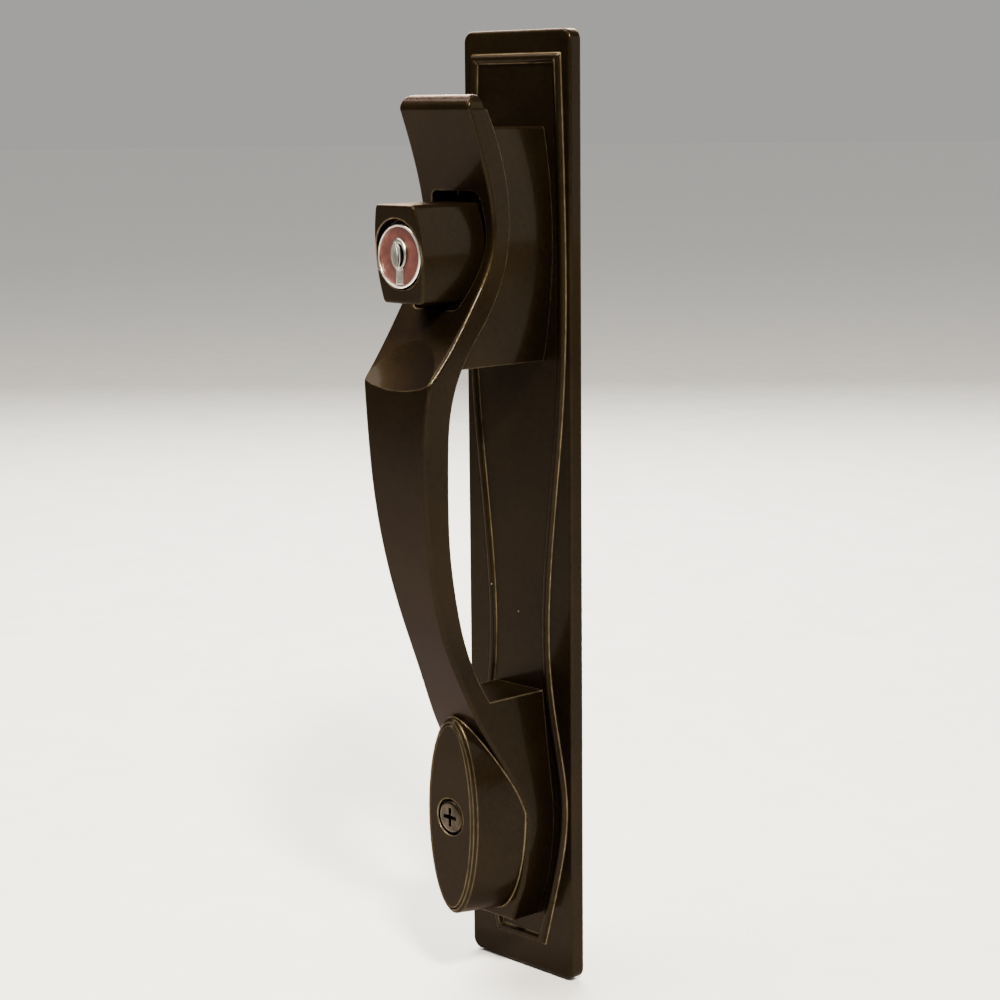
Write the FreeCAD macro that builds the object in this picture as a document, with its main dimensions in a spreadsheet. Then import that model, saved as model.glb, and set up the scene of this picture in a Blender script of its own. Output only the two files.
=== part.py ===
"""Push-button pull handle for a light outer door: bronze plate, S-shaped pull, keyed button.

Frame: the door's face is the plane Y = 0 and the handle stands out from it towards -Y.
X is to the right as seen from outside and Z is up.  The origin is the middle of the back
of the plate.  All sizes are millimetres.  "Out" is a distance from the door's face towards
the hand, so a point's Y is minus its out.
"""

import FreeCAD
import Part

import math
import os

import Sketcher

os.makedirs("parts", exist_ok=True)
doc = FreeCAD.newDocument("pull_handle")
V = FreeCAD.Vector

# ---------------------------------------------------------------- driving sizes
SIZES = [
    ("plate_height", "254", "back plate, ten inches tall"),
    ("plate_width", "40", "back plate, side to side"),
    ("plate_thickness", "3.8", "back plate, front to back"),
    ("plate_corner_radius", "3", "rounded corners of the plate"),
    ("plate_edge_radius", "0.8", "rounded front edge of the plate"),
    ("bead_height", "1.0", "raised bead above the plate"),
    ("bead_round", "0.9", "rounding of the bead's two top edges"),
    ("trim_width", "60", "wider and taller than anything trimmed"),
    ("trim_height", "300", "wider and taller than anything trimmed"),
    ("strap_edge_radius", "0.9", "rounded edges of the pull"),
    ("ridge_radius", "3", "rounded crest of the thumb ridge"),
    ("thumb_dish_radius", "64", "ball-shaped hollow for the thumb above the ridge"),
    ("thumb_dish_depth", "1.35", "ball-shaped hollow for the thumb above the ridge"),
    ("shoulder_radius", "0.9", "rounded top edges of the housing and of the foot's block"),
    ("boss_half_width", "9.6", "oval boss at the foot of the pull"),
    ("boss_half_height", "26.8", "oval boss at the foot of the pull"),
    ("boss_centre_height", "-79.4", "middle of the oval boss"),
    ("boss_out", "=plate_thickness + 25.9", "front of the oval boss"),
    ("boss_foot_half_width", "12.1", "the boss widens towards the plate"),
    ("boss_foot_half_height", "28.8", "the boss widens towards the plate"),
    ("boss_foot_out", "=plate_thickness + 8.8", "root of the boss inside the casting"),
    ("boss_chamfer", "0.8", "bevel round the oval boss"),
    ("cap_half_width", "8.4", "oval cap let into the boss"),
    ("cap_half_height", "25.5", "oval cap let into the boss"),
    ("cap_gap", "0.15", "gap round the oval cap"),
    ("cap_sink", "2.2", "depth of the seat under the cap"),
    ("cap_thickness", "2.5", "oval cap, front to back"),
    ("cap_rear_out", "=boss_out - cap_sink", "back of the oval cap"),
    ("cap_front_out", "=cap_rear_out + cap_thickness", "front of the oval cap"),
    ("cap_edge_chamfer", "0.5", "bevel round the oval cap"),
    ("cap_dish_radius", "5.0", "round dish in the cap for the screw head"),
    ("cap_dish_depth", "1.5", "round dish in the cap for the screw head"),
    ("cap_screw_radius", "2.0", "thread of the cap screw"),
    ("cap_screw_length", "15", "thread of the cap screw"),
    ("cap_screw_head_radius", "4.6", "pan head of the cap screw"),
    ("cap_screw_head_height", "1.6", "pan head of the cap screw"),
    ("cap_screw_dome", "1.2", "rounding of the screw head"),
    ("cap_screw_front_out", "=cap_front_out - cap_dish_depth + cap_screw_head_height", "top"),
    ("cap_hole_radius", "=cap_screw_radius + 0.15", "hole through the oval cap"),
    ("recess_width", "1.1", "cross recess in the screw head"),
    ("recess_length", "5.0", "cross recess in the screw head"),
    ("recess_depth", "1.2", "cross recess in the screw head"),
    ("screw_hole_gap", "0.15", "gap round a screw in a plain hole"),
    ("lock_height", "70.35", "axis of the key plug, spring and tailpiece"),
    ("button_out", "=plate_thickness + 41.5", "middle of the button's face"),
    ("button_tilt", "5.9", "lean of the button's face, in degrees"),
    ("button_travel", "6", "how far the button is pushed"),
    ("button_edge_radius", "0.75", "rounded edges of the button's face"),
    ("button_side_radius", "1.2", "rounded long edges of the button"),
    ("opening_corner_radius", "2.2", "rounded corners of the opening round the button"),
    ("guide_gap", "0.25", "running gap round the button"),
    ("guide_front_out", "=plate_thickness + 13", "front of the guide"),
    ("guide_rear_out", "=plate_thickness + 9.6", "back of the guide, the button's stop"),
    ("flange_reach", "1.6", "button flange beyond the button's side"),
    ("flange_thickness", "2.2", "button flange, front to back"),
    ("stop_gap", "0.2", "button flange to its stop"),
    ("flange_rear_out", "=guide_rear_out - stop_gap - flange_thickness", "back of the button"),
    ("web_rear_out", "=plate_thickness + 17", "wall the spring pushes on"),
    ("web_front_out", "=web_rear_out + 1.6", "wall the spring pushes on"),
    ("web_hole_radius", "3.9", "way through for the tailpiece"),
    ("spring_pocket_radius", "6.6", "hollow behind the wall"),
    ("shell_radius", "7.0", "lock cylinder, outside"),
    ("shell_bore_radius", "5.05", "lock cylinder, inside"),
    ("shell_rear_out", "=web_front_out + 1.6", "lock cylinder, back"),
    ("shell_front_out", "=plate_thickness + 39", "lock cylinder, front"),
    ("shell_seat_radius", "=shell_radius + fit_gap", "bore in the button for the cylinder"),
    ("shell_slot_width", "5.4", "slots the wafers drop into"),
    ("shell_slot_height", "12.2", "slots the wafers drop into"),
    ("shell_slot_length", "16", "slots the wafers drop into"),
    ("head_pocket_radius", "8.6", "round opening in the button's face"),
    ("head_pocket_top", "=lock_height + 0.9", "the opening is taller than wide by this rise"),
    ("plug_head_radius", "8.15", "head of the key plug with its bezel"),
    ("plug_face_out", "=plate_thickness + 41.4", "front of the key plug"),
    ("plug_radius", "5.0", "key plug"),
    ("face_radius", "7.8", "coloured face of the plug"),
    ("face_thickness", "0.8", "coloured face of the plug"),
    ("bezel_lip_radius", "7.55", "inside of the bright ring round the face"),
    ("bezel_lip_thickness", "0.5", "bright ring in front of the face"),
    ("keyhole_thickness", "1.6", "bright keyhole piece, its raised oval"),
    ("keyhole_half_width", "2.9", "bright keyhole piece, its raised oval"),
    ("keyhole_half_height", "4.0", "bright keyhole piece, its raised oval"),
    ("keyhole_level", "0.6", "middle of the raised oval above the plug's axis"),
    ("keyhole_edge_radius", "0.4", "rounded edge of the raised oval"),
    ("stem_thickness", "0.95", "bright keyhole piece, its stem"),
    ("stem_width", "2.7", "bright keyhole piece, its stem"),
    ("stem_height", "5.2", "bright keyhole piece, its stem"),
    ("stem_level", "-4.6", "middle of the stem above the plug's axis"),
    ("plug_shoulder_out", "=shell_front_out + 0.1", "back of the plug's head"),
    ("face_rear_out", "=plug_face_out - bezel_lip_thickness - face_thickness", "under the face"),
    ("keyway_width", "2.2", "slot for the key through the plug"),
    ("keyway_height", "7.0", "slot for the key through the plug"),
    ("keyway_floor", "0.6", "metal left between the keyway and the tailpiece"),
    ("keyway_mouth_width", "4.8", "wider mouth of the keyway, behind the bright piece"),
    ("keyway_mouth_depth", "3", "wider mouth of the keyway, behind the bright piece"),
    ("wafer_count", "5", "wafers in the key plug"),
    ("wafer_pitch", "3.0", "wafer to wafer"),
    ("wafer_thickness", "0.9", "wafer"),
    ("wafer_width", "5.0", "wafer"),
    ("wafer_height", "8.2", "wafer"),
    ("wafer_window_width", "2.2", "window in the wafer for the key"),
    ("wafer_window_height", "5.6", "window in the wafer for the key"),
    ("wafer_ear_length", "1.2", "ear that rests on the wafer's spring"),
    ("wafer_ear_height", "0.8", "ear that rests on the wafer's spring"),
    ("wafer_ear_level", "1.4", "middle of the ear above the plug's axis"),
    ("wafer_slot_width", "=wafer_width + 0.2", "slot in the plug for a wafer"),
    ("wafer_slot_height", "10.6", "slot in the plug for a wafer"),
    ("wafer_slot_thickness", "=wafer_thickness + 0.2", "slot in the plug for a wafer"),
    ("spring_cell_width", "1.5", "side pocket for a wafer's spring"),
    ("spring_cell_height", "4.2", "side pocket for a wafer's spring"),
    ("spring_cell_depth", "1.3", "side pocket for a wafer's spring"),
    ("first_wafer_out", "=shell_rear_out + 2.2", "rearmost wafer"),
    ("wafer_spring_radius", "0.4", "wafer spring, middle of the wire"),
    ("wafer_spring_wire", "0.1", "wafer spring, radius of the wire"),
    ("wafer_spring_height", "2.6", "wafer spring"),
    ("wafer_spring_turns", "4", "wafer spring"),
    ("wafer_ear_root", "0.2", "ear inside the wafer"),
    ("clip_thickness", "0.6", "clip behind the lock cylinder"),
    ("clip_outer_radius", "6.3", "clip behind the lock cylinder"),
    ("clip_groove_radius", "4.3", "groove in the plug for the clip"),
    ("clip_mouth", "5.0", "open side of the clip"),
    ("clip_gap", "0.05", "gap each side of the clip in its groove"),
    ("clip_front_out", "=shell_rear_out - 0.1", "clip behind the lock cylinder"),
    ("clip_rear_out", "=clip_front_out - clip_thickness", "clip behind the lock cylinder"),
    ("clip_inner_radius", "=clip_groove_radius + clip_gap", "clip behind the lock cylinder"),
    ("fit_gap", "0.02", "gap between two parts that fit closely"),
    ("bezel_round", "0.3", "rounded outer edge of the bright ring"),
    ("plug_rear_out", "=shell_rear_out - 1.35", "back of the key plug"),
    ("tail_width", "6.0", "tailpiece, flat bar"),
    ("tail_thickness", "1.8", "tailpiece, flat bar"),
    ("tail_root", "2.6", "tailpiece inside the plug"),
    ("tail_reach", "14", "tailpiece beyond the door's face"),
    ("tail_hole_radius", "4.1", "hole in the plate for the tailpiece"),
    ("tail_gap", "0.05", "gap round the tailpiece in the plug"),
    ("tail_slot_width", "=tail_width + 2 * tail_gap", "slot for it in the plug"),
    ("tail_slot_thickness", "=tail_thickness + 2 * tail_gap", "slot for it in the plug"),
    ("spring_radius", "5.3", "button spring, middle of the wire"),
    ("spring_wire", "0.45", "button spring, radius of the wire"),
    ("spring_turns", "5", "button spring"),
    ("seat_thickness", "0.8", "washer under the button spring"),
    ("seat_radius", "7.6", "washer under the button spring"),
    ("spring_room", "=web_rear_out - plate_thickness - seat_thickness", "button spring's space"),
    ("spring_height", "=spring_room - 2 * spring_wire - 2 * fit_gap",
     "button spring at rest, middle of the wire to middle of the wire"),
    ("set_screw_radius", "1.5", "grub screw that holds the lock cylinder"),
    ("set_screw_length", "4.4", "grub screw that holds the lock cylinder"),
    ("set_screw_height", "=lock_height - shell_radius - set_screw_length - fit_gap", "its foot"),
    ("set_screw_out", "=plate_thickness + 24", "grub screw, from the door"),
    ("set_screw_socket", "0.75", "hexagon socket, half across the flats"),
    ("upper_post_height", "94.2", "upper mounting post"),
    ("post_spacing", "152.4", "six inches between the mounting posts"),
    ("lower_post_height", "=upper_post_height - post_spacing", "lower mounting post"),
    ("post_radius", "4.5", "mounting post behind the plate"),
    ("post_length", "12.8", "mounting post, shoulder to free end"),
    ("post_stud_radius", "2.5", "threaded end screwed into the pull"),
    ("tip_room", "0.5", "empty end of a screw's hole"),
    ("post_stud_length", "12", "threaded end screwed into the pull"),
    ("post_bore_radius", "1.8", "tapped hole for the bolt from indoors"),
    ("post_bore_length", "8.0", "tapped hole for the bolt from indoors"),
    ("post_shoulder_out", "=plate_thickness - washer_thickness", "shoulder against its washer"),
    ("post_end_out", "=post_shoulder_out - post_length", "free end of a mounting post"),
    ("post_hole_radius", "5.1", "hole in the plate for a post and its washer"),
    ("post_slot_length", "=2 * post_radius + 1", "driver slot across the post's end"),
    ("post_chamfer", "0.5", "bevel at the post's end"),
    ("washer_thickness", "0.8", "toothed washer under a post"),
    ("washer_radius", "4.9", "toothed washer under a post"),
    ("washer_teeth", "8", "toothed washer under a post"),
    ("washer_notch_radius", "4.3", "toothed washer between its teeth"),
    ("washer_hole_radius", "2.65", "hole for the stud in the washer"),
    ("post_slot_width", "1.2", "driver slot across the post's end"),
    ("post_slot_depth", "1.0", "driver slot across the post's end"),
    ("upper_plate_screw_height", "47.6", "upper countersunk plate screw"),
    ("plate_screw_spacing", "148", "between the two plate screws"),
    ("lower_plate_screw_height", "=upper_plate_screw_height - plate_screw_spacing", "lower one"),
    ("plate_screw_hole_radius", "=plate_screw_radius + screw_hole_gap", "its hole in the plate"),
    ("countersink_depth", "=plate_screw_head_radius - plate_screw_radius", "its countersink"),
    ("plate_screw_radius", "2.0", "countersunk plate screw"),
    ("plate_screw_head_radius", "3.9", "countersunk plate screw"),
    ("plate_screw_head_height", "2.0", "countersunk plate screw"),
    ("plate_screw_sink", "0.12", "its head below the back of the plate"),
    ("plate_screw_length", "11.5", "countersunk plate screw, overall"),
    ("plate_screw_recess_depth", "1.2", "cross recess of the plate screw"),
]

sheet = doc.addObject("Spreadsheet::Sheet", "Sizes")
for row, (alias, value, meaning) in enumerate(SIZES, start=1):
    sheet.set("A%d" % row, meaning)
    sheet.set("B%d" % row, value)
    sheet.setAlias("B%d" % row, alias)
doc.recompute()


def size(alias):
    """The value of one size in the sheet."""
    return float(sheet.get(alias))


# ---------------------------------------------------------------- outlines, in mm
# Each line runs down the handle.  A pair is (out from the plate's front, height).
THUMB_LINE = [(29.0, 106.6), (26.2, 99.2), (23.2, 90.0), (21.2, 81.0), (21.2, 72.5),
              (24.0, 65.0), (28.4, 58.0), (34.5, 49.0), (43.0, 38.6)]
GRIP_LINE = [(43.0, 38.6), (43.4, 28.0), (42.6, 9.0), (40.6, -5.0), (35.0, -27.0),
             (28.4, -43.0), (22.8, -55.0), (16.0, -66.5), (9.8, -79.5)]
REAR_LINE = [(24.3, 110.0), (19.3, 99.0), (16.4, 89.0), (15.6, 76.0), (17.4, 66.0),
             (24.6, 52.7), (31.8, 42.4), (34.7, 33.0), (35.1, 20.0), (34.5, 7.0),
             (33.4, -5.0), (30.4, -19.0), (23.6, -40.0), (19.6, -47.7)]
TIP_LINE = [(29.0, 106.6), (28.5, 108.8), (25.8, 110.5), (24.3, 110.0)]
HOUSING_SIDE = [(0.0, 102.3), (24.0, 102.3), (18.6, 84.0), (18.4, 72.0), (22.4, 62.0),
                (35.4, 41.3), (0.0, 41.3)]

# A pair is (half width, height) on the right of the centre line.
PULL_OUTLINE = [(13.2, 106.6), (13.3, 98.0), (13.5, 85.0), (13.6, 72.0), (13.6, 55.0),
                (13.2, 43.0), (11.7, 29.0), (10.3, 10.0), (8.9, -10.0), (7.6, -31.0),
                (8.8, -47.7), (11.3, -68.0), (12.8, -83.0), (11.9, -93.0), (9.8, -102.0),
                (8.1, -106.0), (6.4, -110.8)]
PULL_TOP = (10.9, 110.9)
PULL_FOOT = -110.8
HOUSING_OUTLINE = [(10.4, 102.3), (13.5, 71.8), (9.9, 41.3)]
BUTTON_OUTLINE = [(7.1, 83.3), (9.0, 71.0), (7.35, 58.2)]
OPENING_OUTLINE = [(8.6, 86.2), (10.6, 72.0), (8.5, 56.2)]
BEAD_OUTER = [(16.6, 120.8), (17.4, 100.0), (18.1, 77.0), (18.2, 52.0), (16.8, 27.0),
              (13.9, 2.0), (11.7, -20.0), (11.8, -43.0), (15.0, -61.0), (17.9, -79.0),
              (15.6, -96.0), (9.4, -119.0)]
BEAD_WIDTH = 2.2
TIP_FULLNESS = 0.7  # how far the tip's corners bulge, 0.5 straight and 1 square
NEAR = 0.01  # how close an edge must lie to be picked


# ---------------------------------------------------------------- sketch helpers
def origin_plane(body, role):
    """The body's own XY, XZ or YZ plane."""
    return next(item for item in body.Origin.OriginFeatures if item.Role == role)


def new_body(label, at_height=None):
    """A body for one sub-part, lifted to the height named in the sheet."""
    body = doc.addObject("PartDesign::Body", label)
    body.Label = label
    if at_height:
        body.Placement = FreeCAD.Placement(V(0, 0, size(at_height)), FreeCAD.Rotation())
        body.setExpression("Placement.Base.z", "Sizes.%s" % at_height)
    return body


def new_sketch(body, role, out=None):
    """A sketch on one of the body's planes, moved along its normal by the size `out`."""
    sketch = body.newObject("Sketcher::SketchObject", body.Label + "_sketch")
    sketch.AttachmentSupport = [(origin_plane(body, role), "")]
    sketch.MapMode = "FlatFace"
    if out:
        sketch.setExpression("AttachmentOffset.Base.z", "Sizes.%s" % out)
    return sketch


def drive(sketch, constraint, alias):
    """Add a constraint whose value comes from the sheet."""
    index = sketch.addConstraint(constraint)
    sketch.setExpression("Constraints[%d]" % index, "Sizes.%s" % alias)


def add_circle(sketch, radius, height=None):
    """A circle on the sketch's upright axis, at the origin or at a named height."""
    level = size(height) if height else 0.0
    circle = sketch.addGeometry(Part.Circle(V(0, level, 0), V(0, 0, 1), size(radius)))
    drive(sketch, Sketcher.Constraint("Radius", circle, size(radius)), radius)
    if height:
        sketch.addConstraint(Sketcher.Constraint("PointOnObject", circle, 3, -2))
        drive(sketch, Sketcher.Constraint("DistanceY", -1, 1, circle, 3, level), height)
    else:
        sketch.addConstraint(Sketcher.Constraint("Coincident", circle, 3, -1, 1))


def add_ellipse(sketch, half_width, half_height, height, grow=0.0):
    """An upright ellipse on the centre line."""
    centre = V(0, size(height), 0)
    top = centre + V(0, size(half_height) + grow, 0)
    side = centre + V(size(half_width) + grow, 0, 0)
    sketch.addGeometry(Part.Ellipse(top, side, centre))


def add_polygon(sketch, points):
    """Straight lines round a closed outline."""
    corners = [V(x, y, 0) for x, y in points]
    for start, end in zip(corners, corners[1:] + corners[:1]):
        sketch.addGeometry(Part.LineSegment(start, end))


def add_box(sketch, width, height, level=0.0):
    """A rectangle round the upright axis, its sizes driven by the sheet."""
    half, tall = size(width) / 2, size(height) / 2
    corners = [V(-half, level - tall, 0), V(half, level - tall, 0),
               V(half, level + tall, 0), V(-half, level + tall, 0)]
    first = sketch.addGeometry(Part.LineSegment(corners[0], corners[1]))
    for start, end in ((1, 2), (2, 3), (3, 0)):
        sketch.addGeometry(Part.LineSegment(corners[start], corners[end]))
    for side in range(4):
        joint = Sketcher.Constraint("Coincident", first + side, 2, first + (side + 1) % 4, 1)
        sketch.addConstraint(joint)
    for side, kind in ((0, "Horizontal"), (1, "Vertical"), (2, "Horizontal"), (3, "Vertical")):
        sketch.addConstraint(Sketcher.Constraint(kind, first + side))
    drive(sketch, Sketcher.Constraint("DistanceX", first, 1, first, 2, 2 * half), width)
    drive(sketch, Sketcher.Constraint("DistanceY", first + 1, 1, first + 1, 2, 2 * tall), height)
    sketch.addConstraint(Sketcher.Constraint("DistanceX", -1, 1, first, 2, half))
    sketch.addConstraint(Sketcher.Constraint("DistanceY", -1, 1, first, 2, level - tall))
    sketch.setExpression("Constraints[%d]" % (sketch.ConstraintCount - 2),
                         "Sizes.%s / 2" % width)
    sketch.setExpression("Constraints[%d]" % (sketch.ConstraintCount - 1),
                         "%g - Sizes.%s / 2" % (level, height))


def smooth(points):
    """A curve through the points."""
    curve = Part.BSplineCurve()
    curve.interpolate([V(x, y, 0) for x, y in points])
    return curve


def add_curve(sketch, points):
    """A line through two points or a smooth curve through more."""
    if len(points) == 2:
        sketch.addGeometry(Part.LineSegment(V(*points[0], 0), V(*points[1], 0)))
    else:
        sketch.addGeometry(smooth(points))


def mirrored(points):
    """The same points on the left, running back up."""
    return [(-x, y) for x, y in reversed(points)]


def add_barrel(sketch, outline, grow=0.0):
    """A shape with flat top and foot and two bowed sides, grown by an even margin."""
    (top, high), (middle, level), (foot, low) = outline
    right = [(top + grow, high + grow), (middle + grow, level), (foot + grow, low - grow)]
    left = mirrored(right)
    for side in (right, left):
        sketch.addGeometry(Part.Arc(*[V(x, y, 0) for x, y in side]))
    add_curve(sketch, [left[-1], right[0]])
    add_curve(sketch, [right[-1], left[0]])


def add_cross(sketch, width, length):
    """The plus-shaped mouth of a cross recess, centred on the sketch's origin."""
    near, far = size(width) / 2, size(length) / 2
    arm = [(near, near), (near, far), (-near, far), (-near, near)]
    points = []
    for quarter in range(4):
        turn = FreeCAD.Rotation(V(0, 0, 1), 90 * quarter)
        for x, y in arm[:3]:
            point = turn.multVec(V(x, y, 0))
            points.append((point.x, point.y))
    add_polygon(sketch, points)


def add_wire(sketch, coil_radius, wire_radius, level):
    """The round wire of a spring, one coil radius from the sketch's upright axis."""
    wire = sketch.addGeometry(Part.Circle(V(size(coil_radius), level, 0), V(0, 0, 1),
                                          size(wire_radius)))
    drive(sketch, Sketcher.Constraint("Radius", wire, size(wire_radius)), wire_radius)
    drive(sketch, Sketcher.Constraint("DistanceX", -1, 1, wire, 3, size(coil_radius)),
          coil_radius)
    sketch.addConstraint(Sketcher.Constraint("DistanceY", -1, 1, wire, 3, level))


# ---------------------------------------------------------------- feature helpers
def feature(body, kind, sketch, **settings):
    """A sketch-based feature with plain settings."""
    made = body.newObject("PartDesign::" + kind, "%s_%s" % (body.Label, kind.lower()))
    made.Profile = sketch
    for name, value in settings.items():
        setattr(made, name, value)
    sketch.Visibility = False
    return made


def pad(body, sketch, length, both_ways=False):
    """Material from the sketch along its normal, `length` being an expression in sizes."""
    made = feature(body, "Pad", sketch)
    made.Midplane = both_ways
    made.setExpression("Length", length)
    doc.recompute()
    return made


def cut(body, sketch, length=None, outwards=False, both_ways=False):
    """Remove material behind the sketch, or in front of it when `outwards`."""
    before = body.Shape.Volume
    made = feature(body, "Pocket", sketch)
    made.Midplane = both_ways
    made.Reversed = outwards
    if length:
        made.setExpression("Length", length)
    else:
        made.Type = "ThroughAll"
    doc.recompute()
    if not body.Shape.Volume < before - 1e-6:
        raise RuntimeError("nothing was cut from " + body.Label)
    return made


def turned(label, profile, at_height):
    """A turned piece about the Y axis; profile pairs are (radius, out)."""
    body = new_body(label, at_height)
    sketch = new_sketch(body, "XY_Plane")
    add_polygon(sketch, [(radius, -out) for radius, out in profile])
    made = feature(body, "Revolution", sketch)
    made.ReferenceAxis = (sketch, ["V_Axis"])
    made.Angle = 360
    doc.recompute()
    return body


def round_edges(body, radius, chosen, kind="Fillet"):
    """Round or bevel the edges that `chosen` picks, by a size from the sheet."""
    names = ["Edge%d" % (n + 1) for n, edge in enumerate(body.Shape.Edges) if chosen(edge)]
    if not names:
        raise RuntimeError("no edge to round on " + body.Label)
    base = body.Tip
    made = body.newObject("PartDesign::" + kind, "%s_%s" % (body.Label, kind.lower()))
    made.Base = (base, names)
    made.setExpression("Radius" if kind == "Fillet" else "Size", "Sizes.%s" % radius)
    doc.recompute()
    if "Invalid" in made.State or made.Shape.isNull():
        raise RuntimeError("rounding failed on " + body.Label)
    return made


def lies_at(edge, out):
    """Whether an edge lies wholly at one distance out from the door."""
    box = edge.BoundBox
    return abs(box.YMin + out) < NEAR and abs(box.YMax + out) < NEAR


def runs_out(edge):
    """Whether an edge is straight and runs out from the door."""
    box = edge.BoundBox
    return box.XLength < NEAR and box.ZLength < NEAR


FRONT = size("plate_thickness")


def side_view(points):
    """Side-view pairs (out from the plate's front, height) as the YZ sketch wants them."""
    return [(-(FRONT + out), height) for out, height in points]


def trim_to(body, draw):
    """Cut away everything outside an outline seen from the front."""
    sketch = new_sketch(body, "XZ_Plane")
    add_box(sketch, "trim_width", "trim_height")
    draw(sketch)
    cut(body, sketch, both_ways=True)


def coil(body, sketch, axis, height, turns):
    """A spring wound from the wire's circle in the sketch."""
    made = body.newObject("PartDesign::AdditiveHelix", body.Label + "_coil")
    made.Profile = sketch
    made.ReferenceAxis = (sketch, [axis])
    made.Mode = "height-turns-growth"
    made.setExpression("Height", height)
    made.setExpression("Turns", turns)
    sketch.Visibility = False
    doc.recompute()
    return made


def sketch_normal(body):
    """The body's last sketch on the plate's plane, whose normal points outwards."""
    return [item for item in body.Group if item.TypeId == "Sketcher::SketchObject"][-1]


def repeat_out(body, originals, count, pitch):
    """Copies of features, each one pitch further out."""
    made = body.newObject("PartDesign::LinearPattern", body.Label + "_pattern")
    made.Originals = originals
    made.Direction = (sketch_normal(body), ["N_Axis"])
    body.Tip = made
    made.setExpression("Length", "Sizes.%s * (Sizes.%s - 1)" % (pitch, count))
    made.setExpression("Occurrences", "Sizes.%s" % count)
    doc.recompute()


def second_below(body, originals, spacing):
    """A second copy of the features, lower by the spacing."""
    made = body.newObject("PartDesign::LinearPattern", body.Label + "_pattern")
    made.Originals = originals
    made.Direction = (sketch_normal(body), ["V_Axis"])
    made.Reversed = True
    body.Tip = made
    made.setExpression("Length", "Sizes." + spacing)
    made.Occurrences = 2
    doc.recompute()


# ---------------------------------------------------------------- back plate
plate = new_body("back_plate")
sketch = new_sketch(plate, "XZ_Plane")
add_box(sketch, "plate_width", "plate_height")
pad(plate, sketch, "Sizes.plate_thickness")
round_edges(plate, "plate_corner_radius", runs_out)
round_edges(plate, "plate_edge_radius", lambda edge: lies_at(edge, FRONT))


def draw_bead(sketch, inset):
    """The hourglass outline, moved in by an even amount."""
    right = [(x - inset, z) for x, z in BEAD_OUTER]
    right[0] = (right[0][0], BEAD_OUTER[0][1] - inset)
    right[-1] = (right[-1][0], BEAD_OUTER[-1][1] + inset)
    left = mirrored(right)
    add_curve(sketch, right)
    add_curve(sketch, [right[-1], left[0]])
    add_curve(sketch, left)
    add_curve(sketch, [left[-1], right[0]])


sketch = new_sketch(plate, "XZ_Plane", "plate_thickness")
draw_bead(sketch, 0)
draw_bead(sketch, BEAD_WIDTH)
pad(plate, sketch, "Sizes.bead_height")
round_edges(plate, "bead_round", lambda edge: lies_at(edge, FRONT + size("bead_height")))

sketch = new_sketch(plate, "XZ_Plane")
add_circle(sketch, "tail_hole_radius", "lock_height")
add_circle(sketch, "post_hole_radius", "upper_post_height")
add_circle(sketch, "post_hole_radius", "lower_post_height")
add_circle(sketch, "plate_screw_hole_radius", "upper_plate_screw_height")
add_circle(sketch, "plate_screw_hole_radius", "lower_plate_screw_height")
cut(plate, sketch, both_ways=True)


def screw_mouth(edge):
    """The rim of a plate screw's hole on the back of the plate."""
    if not (lies_at(edge, 0) and hasattr(edge.Curve, "Radius")):
        return False
    return abs(edge.Curve.Radius - size("plate_screw_hole_radius")) < NEAR


round_edges(plate, "countersink_depth", screw_mouth, "Chamfer")

# ---------------------------------------------------------------- pull handle casting
pull = new_body("pull_handle")
sketch = new_sketch(pull, "YZ_Plane")
add_polygon(sketch, side_view(HOUSING_SIDE))
pad(pull, sketch, "Sizes.trim_width", both_ways=True)
trim_to(pull, lambda sketch: add_barrel(sketch, HOUSING_OUTLINE))
round_edges(pull, "shoulder_radius",
            lambda edge: runs_out(edge) and edge.BoundBox.ZMin > HOUSING_OUTLINE[0][1] - NEAR)

sketch = new_sketch(pull, "YZ_Plane")
ledge = GRIP_LINE[-1][0]
post_top = REAR_LINE[-1][1]
add_curve(sketch, side_view(REAR_LINE))
add_curve(sketch, side_view(TIP_LINE))
add_curve(sketch, side_view(THUMB_LINE))
add_curve(sketch, side_view(GRIP_LINE))
corners = [GRIP_LINE[-1], (ledge, PULL_FOOT), (0, PULL_FOOT), (0, post_top), REAR_LINE[-1]]
for start, end in zip(corners, corners[1:]):
    add_curve(sketch, side_view([start, end]))
pad(pull, sketch, "Sizes.trim_width", both_ways=True)


def draw_pull(sketch):
    """The leaf-shaped outline of the whole pull."""
    left = mirrored(PULL_OUTLINE)
    add_curve(sketch, PULL_OUTLINE)
    add_curve(sketch, [PULL_OUTLINE[-1], left[0]])
    add_curve(sketch, left)
    side, shoulder = PULL_OUTLINE[0]
    top_side, top = PULL_TOP
    full, lean = TIP_FULLNESS, 1 - TIP_FULLNESS
    bulge = (full * side + lean * top_side, full * top + lean * shoulder)
    for hand in (1, -1):
        corner = [V(hand * x, z, 0) for x, z in (PULL_OUTLINE[0], bulge, PULL_TOP)]
        sketch.addGeometry(Part.Arc(*corner))
    add_curve(sketch, [PULL_TOP, (-top_side, top)])


trim_to(pull, draw_pull)


def ridge_crest(edge):
    """The edge across the pull where the thumb's hollow meets the grip."""
    box = edge.BoundBox
    level = box.ZLength < NEAR and box.YLength < NEAR
    return level and abs(box.ZMin - GRIP_LINE[0][1]) < NEAR


def outer_edge(edge):
    """The long front edges of the pull, its ledge and all edges of its tip."""
    box = edge.BoundBox
    rearmost = FRONT + max(out for out, height in REAR_LINE)
    along_front = box.YMin < -(rearmost + 1) and box.XLength < size("boss_half_width")
    on_tip = box.ZMin > TIP_LINE[0][1] - NEAR
    on_ledge = lies_at(edge, FRONT + ledge) and box.ZMin < GRIP_LINE[-1][1] - NEAR
    return along_front or on_tip or on_ledge


round_edges(pull, "ridge_radius", ridge_crest)
round_edges(pull, "strap_edge_radius", outer_edge)


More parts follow.
